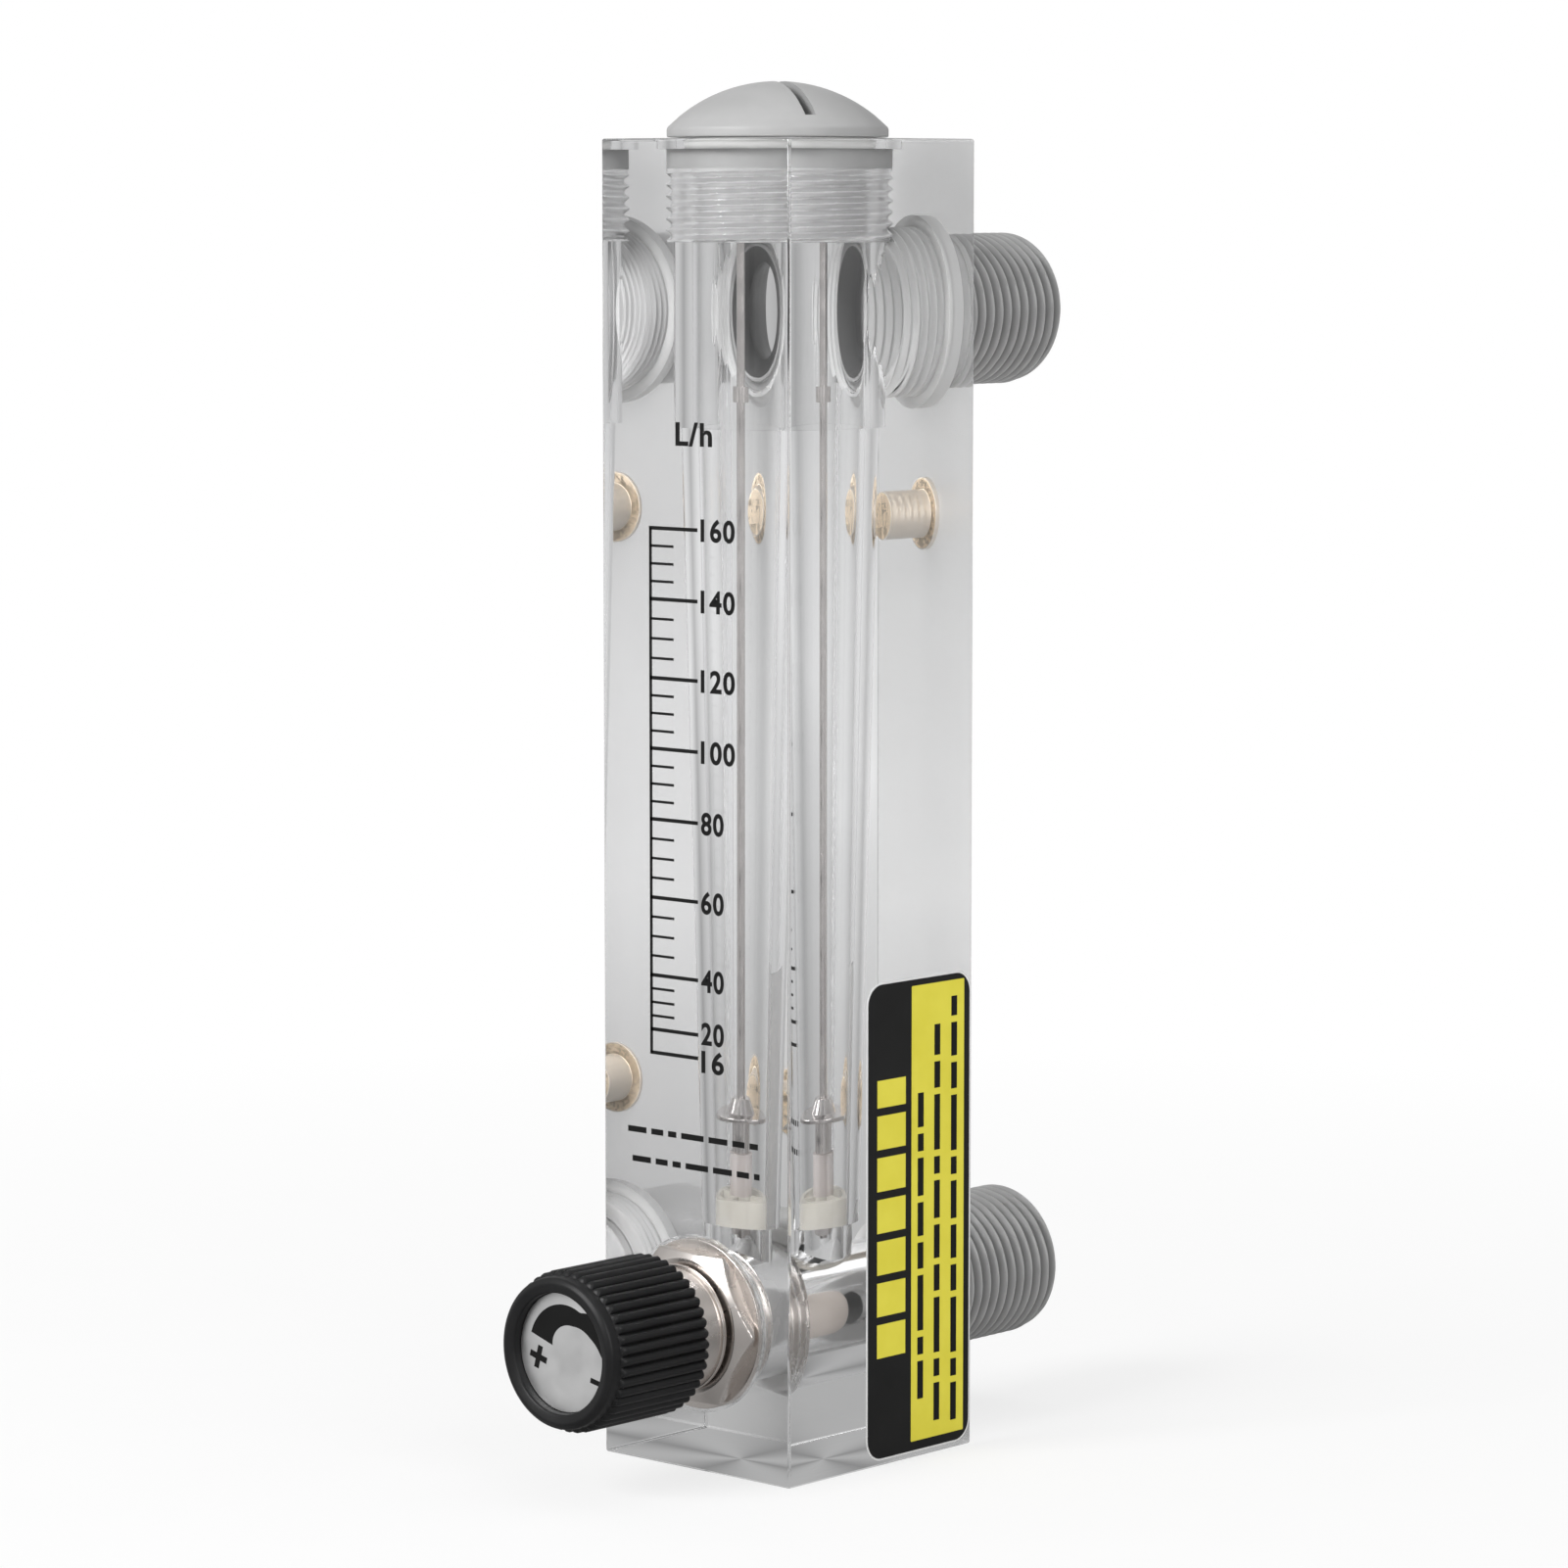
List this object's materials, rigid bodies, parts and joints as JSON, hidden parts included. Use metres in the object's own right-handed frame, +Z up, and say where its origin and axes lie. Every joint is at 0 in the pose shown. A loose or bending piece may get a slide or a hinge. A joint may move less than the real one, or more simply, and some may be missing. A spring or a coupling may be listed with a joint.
{
  "type": "liquid flow meter",
  "caption": "Clear block flow meter with a float on a guide rod in a tapered bore, a printed scale, two threaded ports at the back and a knob-turned valve at its foot.",
  "frame": {"origin": "on the bottom face, under the axis of the metering bore", "axes": "+Z up along the metering bore, -Y towards the scale and the knob, +Y out of the two ports"},
  "size_m": [0.0339, 0.0911, 0.1856],
  "materials": {
    "clear_acrylic": "polished, transparent",
    "cap_plastic": "satin light grey moulding",
    "fitting_plastic": "grey moulding",
    "seal_rubber": "matt",
    "insert_brass": "turned",
    "steel": "turned and polished",
    "stop_plastic": "dull",
    "cream_plastic": "natural moulding",
    "nickel": "nickel plated brass",
    "packing": "white fluoroplastic",
    "knob_black": "satin black moulding",
    "knob_disc": "silver sheet with a black print",
    "label_film": "printed film, black with a yellow field"
  },
  "bodies": {
    "meter": {"body_block": "clear_acrylic", "top_plug": "cap_plastic", "top_plug_oring": "seal_rubber", "outlet_fitting": "fitting_plastic", "outlet_oring": "seal_rubber", "inlet_fitting": "fitting_plastic", "inlet_oring": "seal_rubber", "insert_upper": "insert_brass", "insert_lower": "insert_brass", "guide_rod": "steel", "rod_spider": "cream_plastic", "rod_nut": "steel", "lower_float_stop": "stop_plastic", "upper_float_stop": "steel", "valve_bonnet": "nickel", "bonnet_oring": "seal_rubber", "gland_nut": "nickel", "stem_packing": "packing", "side_label": "label_film"},
    "float": {"float": "steel"},
    "valve_plug": {"valve_plug": "cream_plastic"},
    "valve_stem": {"valve_stem": "nickel", "knob_shell": "knob_black", "knob_face_disc": "knob_disc", "knob_screw": "steel"}
  },
  "joints": [
    {"name": "float_rise", "type": "slide", "parent": "meter", "child": "float", "axis": [0, 0, 1], "range_m": [0, 0.0937]},
    {"name": "valve_travel", "type": "slide", "parent": "meter", "child": "valve_plug", "axis": [0, 1, 0], "range_m": [-0.001, 0.004]},
    {"name": "valve_turn", "type": "hinge", "parent": "valve_plug", "child": "valve_stem", "pos_m": [0, -0.034, 0.02], "axis": [0, 1, 0], "range_deg": [-360, 1440]}
  ],
  "couplings": [
    {"joint": "valve_travel", "follows": "valve_turn", "m_per_rad": 0.00015915}
  ]
}
